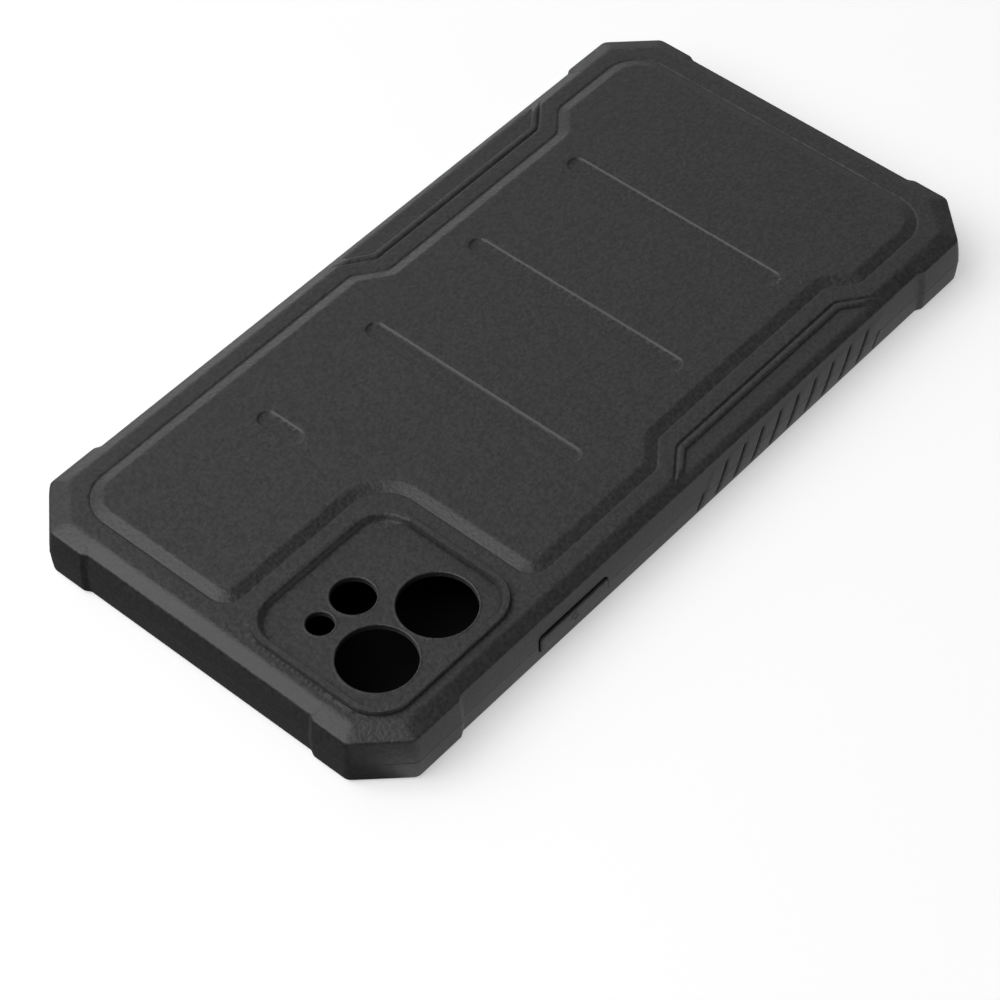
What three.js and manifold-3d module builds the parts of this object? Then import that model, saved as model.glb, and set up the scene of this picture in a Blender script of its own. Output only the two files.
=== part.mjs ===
// Rugged one-piece phone case in soft plastic, with the covers of its three side buttons.
// Millimetres. The case lies face down, so its front rim is the plane z = 0 and its back looks up.
// +X is the side of the power button, -X the side of the volume buttons and the mute switch,
// -Y the camera end and +Y the charging end. The origin is the middle of the front rim's plane.
import * as THREE from 'three';
import { mergeVertices } from 'three/addons/utils/BufferGeometryUtils.js';
import Module from 'manifold-3d';

const wasm = await Module();
wasm.setup();

// The phone that the case is made for, and the space it lies in.
const PHONE = { width: 71.5, length: 146.7, thickness: 7.4, cornerRadius: 10.3 };
const CLEARANCE = 0.1;
const LIP = { thickness: 0.9, overhang: 1.0 };
const CAVITY_FLOOR_Z = LIP.thickness + PHONE.thickness;

// The outer wall. Its widest line is the moulding's parting line; every section is set in from there.
const WALL = { halfX: 39.5, halfY: 77.15, cutX: 8.0, cutY: 7.65, vertexRound: 1.2 };
const BUMPER = { proud: 0.6, fromX: 24.5, fromY: 59.5, ramp: 1.5 };
const PARTING_Z = 4.25;
const BORDER_Z = 10.3;
const SECTIONS = [
  { z: 0, inset: 0.9, proud: BUMPER.proud },
  { z: 0.25, inset: 0.25, proud: BUMPER.proud },
  { z: 2.3, inset: 0.08, proud: BUMPER.proud },
  { z: PARTING_Z, inset: 0, proud: BUMPER.proud },
  { z: 6.8, inset: 0.2, proud: BUMPER.proud },
  { z: 9.1, inset: 0.6, proud: BUMPER.proud },
  { z: BORDER_Z, inset: 2.95, proud: 0 },
];

// The raised panel on the back, which gives way to the camera island and to a waist on each side.
const PANEL = { raise: 0.6, bevel: 2.2, farRadius: 7, waistRadius: 2.6, innerRadius: 7, tipRadius: 3.6 };
const PANEL_EDGE = { x: 33.4, y: 70.75, waistX: 29.4, cameraX: 1.1, cameraY: -35.35 };
const WAIST = { outerTop: 49.9, innerTop: 44.9, innerBottom: 0.45, outerBottom: -4.85 };
const PANEL_TOP_Z = BORDER_Z + PANEL.raise;

// Shallow slots across the panel: three long ones and a short one, evenly spaced.
const SLOT = { width: 3.4, depth: 0.35, firstY: 40.5, pitch: 26.2 };
const SLOT_ENDS = { left: -22.9, right: 22.9, shortRight: -13.7 };

// The sunken strip beside each waist, and the slanted grip grooves on the wall below it.
const STRIP = { z: 9.75, innerX: 34.2, outerX: 38.1 };
const STRIP_ENDS = { innerTop: 43, outerTop: 48, innerBottom: 1.4, outerBottom: -3.9 };
// A groove's floor is upright, so it fades out above and below, where the wall draws in to it.
const GROOVE = { width: 0.7, floorX: 39.1, lowZ: 0.9, highZ: 7.9, shortZ: 4.6, lean: 0.5 };
const GROOVE_ROW = { count: 11, pitch: 4.77, firstY: -0.22 };

// The camera island: a raised rim round a sunken plate with holes for lenses, flash and microphone.
const ISLAND = { x: 19.3, y: -55.45, width: 30.9, length: 33.9, radius: 6.4, raise: 0.9, rim: 1, draft: 0.25 };
const ISLAND_TOP_Z = BORDER_Z + ISLAND.raise;
const PLATE = { topZ: 10.15, thickness: 1.05, recessMargin: 1.5 };
const CAMERA_HOLES = [
  { x: 25.1, y: -48.7, radius: 6.55, steps: 40 },
  { x: 25.1, y: -62.6, radius: 6.55, steps: 40 },
  { x: 14.0, y: -55.9, radius: 3.75, steps: 28 },
  { x: 13.8, y: -63.3, radius: 2.35, steps: 20 },
];

// Button covers: a pad in a recess of the wall, with a stem that reaches in to the phone's own button.
const PAD = { height: 3.1, round: 0.6, z: 4.3, thickness: 1.45, proud: 0.35, gap: 0.3 };
const STEM = { height: 1.4, shorter: 4.6, length: 2.1, round: 0.5 };
const RECESS_DEPTH = 1.6;
const BUTTONS = {
  power_button_cover: { side: 1, y: -32.8, length: 16.3 },
  volume_up_cover: { side: -1, y: -37.5, length: 9.8 },
  volume_down_cover: { side: -1, y: -24.2, length: 9.8 },
};

// Openings through the walls.
const MUTE_WINDOW = { y: -50.8, z: 4.4, length: 9.8, height: 3.6, round: 1.3 };
const CHARGE_PORT = { width: 13, height: 5.6, z: 4.7 };
const SOUND_HOLES = { perSide: 5, firstX: 11.2, pitch: 2.5, radius: 0.8, z: 4.6, steps: 12 };

// How finely curves are divided, how far a cutting tool runs past the case, and how far
// joined solids overlap.
const CURVE_STEPS = 5;
const PAST = 10;
const OVERLAP = 1;
const OUTSIDE_X = WALL.halfX + PAST;
const PHONE_SIDE_X = PHONE.width / 2 - OVERLAP;
const PHONE_END_Y = PHONE.length / 2 - OVERLAP;

// A polygon of [x, y, radius] corners, each one turned by an arc of its own radius.
function roundedShape(corners) {
  const shape = new THREE.Shape();
  corners.forEach(([x, y, radius], i) => {
    const corner = new THREE.Vector2(x, y);
    const [beforeX, beforeY] = corners.at(i - 1);
    const [afterX, afterY] = corners[(i + 1) % corners.length];
    const before = new THREE.Vector2(beforeX, beforeY).sub(corner).normalize();
    const after = new THREE.Vector2(afterX, afterY).sub(corner).normalize();
    const turn = Math.PI - before.angleTo(after);
    const tangent = radius * Math.tan(turn / 2);
    const handle = tangent - radius * (4 / 3) * Math.tan(turn / 4);
    const start = corner.clone().addScaledVector(before, tangent);
    const end = corner.clone().addScaledVector(after, tangent);
    const pull = corner.clone().addScaledVector(before, handle);
    const release = corner.clone().addScaledVector(after, handle);
    if (i === 0) shape.moveTo(start.x, start.y);
    else shape.lineTo(start.x, start.y);
    shape.bezierCurveTo(pull.x, pull.y, release.x, release.y, end.x, end.y);
  });
  return shape;
}

function roundedRectangle(width, height, radius, x = 0, y = 0) {
  const right = x + width / 2;
  const left = x - width / 2;
  const top = y + height / 2;
  const bottom = y - height / 2;
  return roundedShape([
    [right, top, radius],
    [left, top, radius],
    [left, bottom, radius],
    [right, bottom, radius],
  ]);
}

// A rectangle with fully rounded ends, short of a half circle by a hair so that no two points meet.
function stadium(width, height, x, y) {
  const hair = 0.01;
  return roundedRectangle(width, height, Math.min(width, height) / 2 - hair, x, y);
}

// A closed skin over flat outlines of equally many points, from the lowest section to the highest.
function loft(sections) {
  const count = sections[0].outline.length;
  const positions = sections.flatMap(({ outline, z }) => outline.flatMap((p) => [p.x, p.y, z]));
  const indices = [];
  for (let s = 0; s + 1 < sections.length; s += 1) {
    for (let i = 0; i < count; i += 1) {
      const a = s * count + i;
      const b = s * count + ((i + 1) % count);
      indices.push(a, b, b + count, a, b + count, a + count);
    }
  }
  const top = (sections.length - 1) * count;
  const cap = THREE.ShapeUtils.triangulateShape(sections[0].outline, []);
  cap.forEach(([a, b, c]) => {
    indices.push(c, b, a);
    indices.push(top + a, top + b, top + c);
  });
  const geometry = new THREE.BufferGeometry();
  geometry.setAttribute('position', new THREE.Float32BufferAttribute(positions, 3));
  geometry.setIndex(indices);
  return geometry;
}

function extrude(shape, fromZ, toZ, options = {}) {
  const settings = { depth: toZ - fromZ, bevelEnabled: false, curveSegments: CURVE_STEPS, ...options };
  return new THREE.ExtrudeGeometry(shape, settings).translate(0, 0, fromZ);
}

// Turns a shape drawn in XY and extruded along Z so that it lies in YZ and runs along X.
function alongX(geometry) {
  const basis = new THREE.Matrix4().makeBasis(
    new THREE.Vector3(0, 1, 0),
    new THREE.Vector3(0, 0, 1),
    new THREE.Vector3(1, 0, 0),
  );
  return geometry.applyMatrix4(basis);
}

// Turns a shape drawn in XY and extruded along Z so that it lies in ZX and runs along Y.
function alongY(geometry) {
  const basis = new THREE.Matrix4().makeBasis(
    new THREE.Vector3(0, 0, 1),
    new THREE.Vector3(1, 0, 0),
    new THREE.Vector3(0, 1, 0),
  );
  return geometry.applyMatrix4(basis);
}

function solid(geometry) {
  const bare = geometry.clone();
  bare.deleteAttribute('normal');
  bare.deleteAttribute('uv');
  const merged = mergeVertices(bare, 1e-4);
  const vertProperties = new Float32Array(merged.attributes.position.array);
  const triVerts = new Uint32Array(merged.index.array);
  return new wasm.Manifold(new wasm.Mesh({ numProp: 3, vertProperties, triVerts }));
}

function geometryOf(manifold) {
  const { vertProperties, triVerts, numProp } = manifold.getMesh();
  const positions = [];
  for (let i = 0; i < vertProperties.length; i += numProp) {
    positions.push(vertProperties[i], vertProperties[i + 1], vertProperties[i + 2]);
  }
  const geometry = new THREE.BufferGeometry();
  geometry.setAttribute('position', new THREE.Float32BufferAttribute(positions, 3));
  geometry.setIndex([...triVerts]);
  geometry.computeVertexNormals();
  return geometry;
}

// Three points that ease the outline past a corner of the octagon.
function easedVertex(before, vertex, after) {
  const start = vertex.clone().add(before.clone().sub(vertex).setLength(WALL.vertexRound));
  const end = vertex.clone().add(after.clone().sub(vertex).setLength(WALL.vertexRound));
  return new THREE.QuadraticBezierCurve(start, vertex, end).getPoints(2);
}

// The wall's plan: a long octagon whose four corners stand proud of the straight sides as bumpers.
function wallOutline(inset, proud) {
  const sideX = WALL.halfX - inset;
  const endY = WALL.halfY - inset;
  const shrink = (2 - Math.SQRT2) * inset;
  const bumperX = sideX + proud;
  const bumperY = endY + proud;
  const sideStart = new THREE.Vector2(bumperX, BUMPER.fromY + BUMPER.ramp / 2);
  const sideVertex = new THREE.Vector2(bumperX, bumperY - WALL.cutY + shrink);
  const endVertex = new THREE.Vector2(bumperX - WALL.cutX + shrink, bumperY);
  const endStart = new THREE.Vector2(BUMPER.fromX + BUMPER.ramp / 2, bumperY);
  const quarter = [
    new THREE.Vector2(sideX, BUMPER.fromY - BUMPER.ramp / 2),
    sideStart,
    ...easedVertex(sideStart, sideVertex, endVertex),
    ...easedVertex(sideVertex, endVertex, endStart),
    endStart,
    new THREE.Vector2(BUMPER.fromX - BUMPER.ramp / 2, endY),
  ];
  const mirrored = (signX, signY) => quarter.map((p) => new THREE.Vector2(p.x * signX, p.y * signY));
  return [
    ...mirrored(1, 1),
    ...mirrored(-1, 1).reverse(),
    ...mirrored(-1, -1),
    ...mirrored(1, -1).reverse(),
  ];
}

function outerBody() {
  const sections = SECTIONS.map(({ z, inset, proud }) => ({ z, outline: wallOutline(inset, proud) }));
  return solid(loft(sections));
}

function raisedPanel() {
  const { x, y, waistX, cameraX, cameraY } = PANEL_EDGE;
  const { farRadius, waistRadius, innerRadius, tipRadius } = PANEL;
  const shape = roundedShape([
    [x, y, farRadius],
    [-x, y, farRadius],
    [-x, WAIST.outerTop, waistRadius],
    [-waistX, WAIST.innerTop, waistRadius],
    [-waistX, WAIST.innerBottom, waistRadius],
    [-x, WAIST.outerBottom, waistRadius],
    [-x, -y, farRadius],
    [cameraX, -y, tipRadius],
    [cameraX, cameraY, innerRadius],
    [x, cameraY, tipRadius],
    [x, WAIST.outerBottom, waistRadius],
    [waistX, WAIST.innerBottom, waistRadius],
    [waistX, WAIST.innerTop, waistRadius],
    [x, WAIST.outerTop, waistRadius],
  ]);
  return solid(extrude(shape, BORDER_Z - PANEL.raise / 2, BORDER_Z, {
    bevelEnabled: true,
    bevelThickness: PANEL.raise,
    bevelSize: PANEL.bevel,
    bevelOffset: -PANEL.bevel,
    bevelSegments: 1,
  }));
}

function panelSlots() {
  const { left, right, shortRight } = SLOT_ENDS;
  return [right, right, right, shortRight].map((end, i) => {
    const shape = stadium(end - left, SLOT.width, (left + end) / 2, SLOT.firstY - i * SLOT.pitch);
    return solid(extrude(shape, PANEL_TOP_Z - SLOT.depth, PANEL_TOP_Z + PAST));
  });
}

// The strip's flat, cut out of the border and its sloping facet from a line beside the waist outwards.
function stripSink(side) {
  const { z, innerX, outerX } = STRIP;
  const { innerTop, outerTop, innerBottom, outerBottom } = STRIP_ENDS;
  const corners = [
    [innerX, innerBottom],
    [outerX, outerBottom],
    [OUTSIDE_X, outerBottom],
    [OUTSIDE_X, outerTop],
    [outerX, outerTop],
    [innerX, innerTop],
  ];
  const shape = new THREE.Shape(corners.map(([x, y]) => new THREE.Vector2(x * side, y)));
  return solid(extrude(shape, z, z + PAST));
}

// Grip grooves: slanted slits in the wall that lean towards the charging end as they climb.
// The first and the last reach only halfway up.
function gripGrooves(side) {
  const { width, floorX, lowZ, highZ, shortZ, lean } = GROOVE;
  const { count, pitch, firstY } = GROOVE_ROW;
  const [fromX, toX] = side > 0 ? [floorX, OUTSIDE_X] : [-OUTSIDE_X, -floorX];
  return Array.from({ length: count }, (_, i) => {
    const topZ = i === 0 || i === count - 1 ? shortZ : highZ;
    const lowY = firstY + i * pitch - (lean * (highZ - lowZ)) / 2;
    const topY = lowY + lean * (topZ - lowZ);
    const corners = [[lowY, lowZ], [lowY + width, lowZ], [topY + width, topZ], [topY, topZ]];
    const shape = new THREE.Shape(corners.map(([y, z]) => new THREE.Vector2(y, z)));
    return solid(alongX(extrude(shape, fromX, toX)));
  });
}

function islandRim() {
  const shape = roundedRectangle(ISLAND.width, ISLAND.length, ISLAND.radius, ISLAND.x, ISLAND.y);
  return solid(extrude(shape, CAVITY_FLOOR_Z, ISLAND_TOP_Z));
}

function islandPocket() {
  const slope = ISLAND.draft / (ISLAND_TOP_Z - PLATE.topZ);
  const outlineAt = (z) => {
    const margin = ISLAND.rim + (ISLAND_TOP_Z - z) * slope;
    const width = ISLAND.width - 2 * margin;
    const length = ISLAND.length - 2 * margin;
    const shape = roundedRectangle(width, length, ISLAND.radius - margin, ISLAND.x, ISLAND.y);
    return shape.getPoints(CURVE_STEPS);
  };
  const mouthZ = ISLAND_TOP_Z + slope;
  return solid(loft([PLATE.topZ, mouthZ].map((z) => ({ z, outline: outlineAt(z).slice(0, -1) }))));
}

function plateRecess() {
  const { recessMargin: margin } = PLATE;
  const width = ISLAND.width - 2 * margin;
  const length = ISLAND.length - 2 * margin;
  const shape = roundedRectangle(width, length, ISLAND.radius - margin, ISLAND.x, ISLAND.y);
  return solid(extrude(shape, PARTING_Z, PLATE.topZ - PLATE.thickness));
}

function cameraHoles() {
  return CAMERA_HOLES.map(({ x, y, radius, steps }) => {
    const drill = new THREE.CylinderGeometry(radius, radius, PAST, steps);
    return solid(drill.rotateX(Math.PI / 2).translate(x, y, PLATE.topZ));
  });
}

function phoneSpace() {
  const width = PHONE.width + 2 * CLEARANCE;
  const length = PHONE.length + 2 * CLEARANCE;
  const radius = PHONE.cornerRadius + CLEARANCE;
  return solid(extrude(roundedRectangle(width, length, radius), LIP.thickness, CAVITY_FLOOR_Z));
}

function screenOpening() {
  const width = PHONE.width - 2 * LIP.overhang;
  const length = PHONE.length - 2 * LIP.overhang;
  const radius = PHONE.cornerRadius - LIP.overhang;
  return solid(extrude(roundedRectangle(width, length, radius), -PAST, PARTING_Z));
}

// A rectangle in the wall's plane, extruded from one x to another on the button's side.
function wallBlock(button, length, height, round, fromX, toX) {
  const low = Math.min(button.side * fromX, button.side * toX);
  const high = Math.max(button.side * fromX, button.side * toX);
  return solid(alongX(extrude(roundedRectangle(length, height, round, button.y, PAD.z), low, high)));
}

function buttonOpening(button) {
  const floorX = WALL.halfX - RECESS_DEPTH;
  const round = PAD.round + PAD.gap;
  const grown = 2 * PAD.gap;
  const recess = wallBlock(button, button.length + grown, PAD.height + grown, round, floorX, OUTSIDE_X);
  const length = button.length - STEM.shorter + grown;
  const height = STEM.height + grown;
  const window = wallBlock(button, length, height, STEM.round + PAD.gap, PHONE_SIDE_X, floorX + OVERLAP);
  return recess.add(window);
}

function buttonCover(button) {
  const faceX = WALL.halfX + PAD.proud;
  const backX = faceX - PAD.thickness;
  const tipX = backX - STEM.length;
  const pad = wallBlock(button, button.length, PAD.height, PAD.round, backX, faceX);
  const stemLength = button.length - STEM.shorter;
  const stem = wallBlock(button, stemLength, STEM.height, STEM.round, tipX, backX + OVERLAP);
  return pad.add(stem);
}

function muteWindow() {
  const { y, z, length, height, round } = MUTE_WINDOW;
  return solid(alongX(extrude(roundedRectangle(length, height, round, y, z), -OUTSIDE_X, -PHONE_SIDE_X)));
}

function chargingOpening() {
  const { width, height, z } = CHARGE_PORT;
  const port = stadium(height, width, z, 0);
  return solid(alongY(extrude(port, PHONE_END_Y, PHONE_END_Y + PAST)));
}

function soundHoles() {
  const { perSide, firstX, pitch, radius, z, steps } = SOUND_HOLES;
  const places = Array.from({ length: perSide }, (_, i) => firstX + i * pitch);
  return [...places, ...places.map((x) => -x)].map((x) => {
    const drill = new THREE.CylinderGeometry(radius, radius, PAST, steps);
    return solid(drill.translate(x, PHONE_END_Y + PAST / 2, z));
  });
}

function caseShell() {
  const raised = [raisedPanel(), islandRim()];
  const cuts = [
    stripSink(1),
    stripSink(-1),
    ...gripGrooves(1),
    ...gripGrooves(-1),
    ...panelSlots(),
    islandPocket(),
    plateRecess(),
    ...cameraHoles(),
    phoneSpace(),
    screenOpening(),
    ...Object.values(BUTTONS).map(buttonOpening),
    muteWindow(),
    chargingOpening(),
    ...soundHoles(),
  ];
  const built = raised.reduce((body, piece) => body.add(piece), outerBody());
  return cuts.reduce((body, tool) => body.subtract(tool), built);
}

function namedMesh(name, manifold, material) {
  const mesh = new THREE.Mesh(geometryOf(manifold), material);
  mesh.name = name;
  return mesh;
}

const shellPlastic = new THREE.MeshStandardMaterial({ color: 0x3a3a3a, roughness: 0.78, metalness: 0 });
const coverPlastic = new THREE.MeshStandardMaterial({ color: 0x3d3d3d, roughness: 0.74, metalness: 0 });

const phoneCase = new THREE.Group();
phoneCase.name = 'phone_case';
phoneCase.add(namedMesh('case_shell', caseShell(), shellPlastic));
Object.entries(BUTTONS).forEach(([name, button]) => {
  phoneCase.add(namedMesh(name, buttonCover(button), coverPlastic));
});

export default phoneCase;
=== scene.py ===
"""Looks of the rugged phone case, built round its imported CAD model.

The case lies face down: +Z out of its back, +X the power-button side, -Y the camera end.
Shapes are worked out in millimetres and turned into metres when a mesh is made.
Most faces are sheets: a flat domain triangulated along every line where its surface bends,
then lifted by a height function. Sweeps close the walls and tubes join the openings.
"""
import math

import bmesh
import bpy
import numpy as np
from mathutils import Matrix, Vector, geometry, kdtree


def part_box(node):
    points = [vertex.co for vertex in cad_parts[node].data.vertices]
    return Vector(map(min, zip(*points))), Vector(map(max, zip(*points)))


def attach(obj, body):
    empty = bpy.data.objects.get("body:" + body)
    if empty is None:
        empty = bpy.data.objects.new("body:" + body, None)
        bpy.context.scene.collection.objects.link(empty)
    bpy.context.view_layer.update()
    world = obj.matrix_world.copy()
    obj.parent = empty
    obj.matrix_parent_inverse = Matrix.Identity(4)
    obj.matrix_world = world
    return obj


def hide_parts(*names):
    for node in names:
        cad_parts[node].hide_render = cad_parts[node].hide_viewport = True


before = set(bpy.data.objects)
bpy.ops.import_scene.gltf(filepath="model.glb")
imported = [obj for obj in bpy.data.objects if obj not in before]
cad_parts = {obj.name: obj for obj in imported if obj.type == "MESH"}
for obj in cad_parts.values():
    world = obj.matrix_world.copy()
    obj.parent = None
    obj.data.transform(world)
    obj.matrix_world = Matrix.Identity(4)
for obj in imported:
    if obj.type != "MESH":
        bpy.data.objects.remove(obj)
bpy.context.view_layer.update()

MM = 0.001


def in_mm(corner):
    return np.array(corner) / MM


# --- driving sizes, in millimetres ---

shell_high = in_mm(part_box("case_shell")[1])

# The outer wall: sections are set in from its widest line, the moulding's parting line.
BUMPER_PROUD = 0.6
BUMPER_FROM_X = 24.5
BUMPER_FROM_Y = 59.5
BUMPER_RAMP = 1.5
HALF_X = shell_high[0] - BUMPER_PROUD
HALF_Y = shell_high[1] - BUMPER_PROUD
CUT_X = 8.0
CUT_Y = 7.65
VERTEX_EASE = 0.8
PARTING_Z = 4.25
ISLAND_TOP_Z = shell_high[2]
RIM_RAISE = 0.9
BORDER_Z = ISLAND_TOP_Z - RIM_RAISE
SHOULDER_Z = 9.1
SHOULDER_INSET = 0.6
BORDER_INSET = 2.95
FRONT_EDGE_Z = 0.25
FRONT_EDGE_INSET = 0.25
LAND_INSET = 0.9
WALL_BULGE = 1.7
EDGE_INSET = 1.1
FACET_RUN = BORDER_INSET - EDGE_INSET
FACET_SLOPE = (BORDER_Z - SHOULDER_Z) / (BORDER_INSET - SHOULDER_INSET)
FACET_EASE = 0.45

# The space for the phone, and the lip that holds it.
CAVITY_HALF_X = 35.85
CAVITY_HALF_Y = 73.45
CAVITY_RADIUS = 10.4
CAVITY_FLOOR_Z = 8.3
LIP_Z = 0.9
LIP_OVERHANG = 1.1

# The back: panel, slots, strips, island.
PANEL_RAISE = 0.6
PANEL_X = 33.4
PANEL_Y = 70.75
PANEL_RADIUS = 7
WAIST_X = 29.4
WAIST_Y = (-4.85, 0.45, 44.9, 49.9)
WAIST_RADIUS = 2.6
NOTCH_X = 1.1
NOTCH_Y = -35.35
NOTCH_END_RADIUS = 3.6
SLOT_WIDTH = 3.4
# Slots are (left, right, y); the island is (x, y, width, length, radius); camera holes are (x, y, radius).
SLOTS = [(-22.9, 22.9, 40.5), (-22.9, 22.9, 14.3), (-22.9, 22.9, -11.9), (-22.9, -13.7, -38.1)]
STRIP_X = 34.2
STRIP_Y = (1.6, 43.0)
STRIP_SLOPE = (-5.3 / 3.8, 5.0 / 3.8)
STRIP_DROP = 0.55
STRIP_RADIUS = 0.5
STRIP_BEYOND = 8
STRIP_END_RADIUS = 0.1
ISLAND = (19.3, -55.45, 30.9, 33.9, 6.4)
RIM_WIDTH = 1.0
PLATE_DROP = 1.05
PLATE_RUN = 0.25
PLATE_LEFT_RUN = 0.95
PLATE_UNDER_Z = 9.1
PLATE_UNDER_MARGIN = 1.5
CAMERA_HOLES = [(25.1, -48.7, 6.55), (25.1, -62.6, 6.55), (14.0, -55.9, 3.75), (13.8, -63.3, 2.35)]

# The walls: the parting line's bead, buttons and openings. A lip is the rounded edge of an opening.
BEAD_PROUD = 0.05
BEAD_HALF = 0.08
BEAD_CLEAR = 0.3
BEAD_FADE = 0.6
BUTTON_GAP = 0.3
PAD_DEPTH = 1.45
PAD_RADIUS = 0.6
STEM_SHORTER = 4.6
STEM_HEIGHT = 1.4
STEM_RADIUS = 0.5
STEM_CHAMFER = 0.15
WELL_FLOOR_X = 37.9
WELL_LIP = 0.18
# Openings are (middle along the wall, middle height, length, height, radius).
MUTE = (-50.8, 4.4, 9.8, 3.6, 1.3)
MUTE_LIP = 0.45
PORT = (0.0, 4.7, 13.0, 5.6, 2.79)
PORT_LIP = 0.3
SOUND_FIRST_X = 11.2
SOUND_PITCH = 2.5
SOUND_COUNT = 5
SOUND_HOLES = [side * (SOUND_FIRST_X + i * SOUND_PITCH) for side in (-1, 1) for i in range(SOUND_COUNT)]
SOUND_RADIUS = 0.8
SOUND_Z = 4.6
SOUND_LIP = 0.15

# The grips: grooves that lean towards the charging end, and pads between them.
GRIP_FIRST_Y = 0.13
GRIP_PITCH = 4.77
GRIP_COUNT = 11
GRIP_LOW_Z = 0.9
GRIP_MIDDLE_Z = 4.65
GRIP_LEAN = 0.49
GRIP_CURL = 0.03
GROOVE_DEPTH = 0.4
GROOVE_TOP_Z = 7.5
END_GROOVE_TOP_Z = 4.9
PAD_TOP_Z = 8.3
# Heights over which a groove and a pad fade, at the top and at the foot.
GROOVE_FADES = (0.9, 0.5)
PAD_FADES = (1.4, 0.8)
PAD_RAISE = 0.16
PAD_BASE = 0.05

# How fine the meshes are. A round end keeps a little flat, so that no two points of an outline meet.
OUTLINE_STEP = 0.6
FINE_STEP = 0.5
BUTTON_STEP = 0.4
MARK_STEP = 0.25
WHOLE_RUN = 9
TURN_STEP = math.radians(7.5)
ARC_STEP = 0.08
LEAST_RADIUS = 0.02
END_FLAT = 0.01
LEAST_STOP = 0.06
CREASE_ROOM = 0.3
ROW_SPACING = 0.866
DOT_ROOM = 0.45
BACK_DOTS = 1.4
WALL_DOTS = 0.9
GRIP_DOTS = 0.5
INNER_DOTS = 2.5
FLOOR_DOTS = 4
FACE_DOTS = 0.5
MARK_DOTS = 0.12

# Nearer points are one: in a mesh, in metres, and in a sheet, in millimetres.
WELD = 2e-6
SAME_POINT = 1e-5
# A sheet leaves out triangles whose middle is nearer to its edge than this: they lie along the edge.
SLIVER = 1e-3
SHARP_ANGLE = math.radians(42)
CORNER_WEIGHT = 60


# --- outlines and profiles ---

def rounded(corners, inward=0.0, step=OUTLINE_STEP):
    """Points of a closed outline, counter-clockwise, each corner (x, y, radius) turned by an arc.

    inward moves the whole outline in by that distance, or out if it is negative.
    """
    points = [np.array(c[:2], float) for c in corners]
    count = len(points)
    runs = [points[(i + 1) % count] - points[i] for i in range(count)]
    runs = [run / np.linalg.norm(run) for run in runs]
    outline = []
    for i, corner in enumerate(corners):
        before, after = runs[i - 1], runs[i]
        cross = before[0] * after[1] - before[1] * after[0]
        turn = math.atan2(cross, float(before @ after))
        side = 1 if turn > 0 else -1
        radius = max(corner[2] - side * inward, LEAST_RADIUS)
        normal = np.array([-before[1], before[0]])
        shift = math.tan(turn / 2) * inward
        moved = points[i] + normal * inward - before * shift
        tangent = radius * math.tan(abs(turn) / 2)
        centre = moved - before * tangent + normal * radius * side
        arm = moved - before * tangent - centre
        steps = max(1, min(math.ceil(abs(turn) / TURN_STEP), math.ceil(abs(turn) * radius / ARC_STEP)))
        for k in range(steps + 1):
            angle = turn * k / steps
            cosine, sine = math.cos(angle), math.sin(angle)
            outline.append(centre + (cosine * arm[0] - sine * arm[1], sine * arm[0] + cosine * arm[1]))
    return subdivided(np.array(outline), step)


def subdivided(loop, step):
    """The closed loop with its long runs split into pieces of about step."""
    out = []
    for a, b in zip(loop, np.roll(loop, -1, axis=0)):
        pieces = max(1, round(float(np.linalg.norm(b - a)) / step))
        out += [a + (b - a) * k / pieces for k in range(pieces)]
    return np.array(out)


def rectangle(x, y, width, height, radius):
    """Corners of a rectangle round (x, y)."""
    right, left, top, bottom = x + width / 2, x - width / 2, y + height / 2, y - height / 2
    return [(right, top, radius), (left, top, radius), (left, bottom, radius), (right, bottom, radius)]


def circle(x, y, radius, steps):
    turns = np.arange(steps) * 2 * math.pi / steps
    return np.stack([x + radius * np.cos(turns), y + radius * np.sin(turns)], axis=1)


def eased(points, steps=4):
    """An open profile from (across, height, ease) corners, each eased over that length on both sides."""
    out = [np.array(points[0][:2], float)]
    for a, b, c in zip(points, points[1:], points[2:]):
        corner = np.array(b[:2], float)
        before = np.array(a[:2]) - corner
        after = np.array(c[:2]) - corner
        start = corner + before / np.linalg.norm(before) * b[2]
        end = corner + after / np.linalg.norm(after) * b[2]
        for t in np.linspace(0, 1, steps + 1):
            out.append((1 - t) ** 2 * start + 2 * t * (1 - t) * corner + t * t * end)
    out.append(np.array(points[-1][:2], float))
    return np.array(out)


def signed_distance(points, loop, chunk=4000):
    """Distance of each point from the closed loop, positive inside it."""
    a = loop
    b = np.roll(loop, -1, axis=0)
    run = b - a
    length2 = (run ** 2).sum(1)
    out = np.empty(len(points))
    for start in range(0, len(points), chunk):
        p = points[start:start + chunk, None, :]
        to = p - a
        along = np.clip((to * run).sum(2) / length2, 0, 1)
        gap = ((to - along[..., None] * run) ** 2).sum(2).min(1)
        straddles = (a[:, 1] > p[..., 1]) != (b[:, 1] > p[..., 1])
        rise = np.where(run[:, 1] == 0, 1e-12, run[:, 1])
        crossing = a[:, 0] + (p[..., 1] - a[:, 1]) * run[:, 0] / rise
        inside = (straddles & (p[..., 0] < crossing)).sum(1) % 2 == 1
        out[start:start + chunk] = np.where(inside, 1, -1) * np.sqrt(gap)
    return out


def smooth_step(t):
    t = np.clip(t, 0, 1)
    return t * t * (3 - 2 * t)


# --- sheets, sweeps and tubes ---

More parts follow.
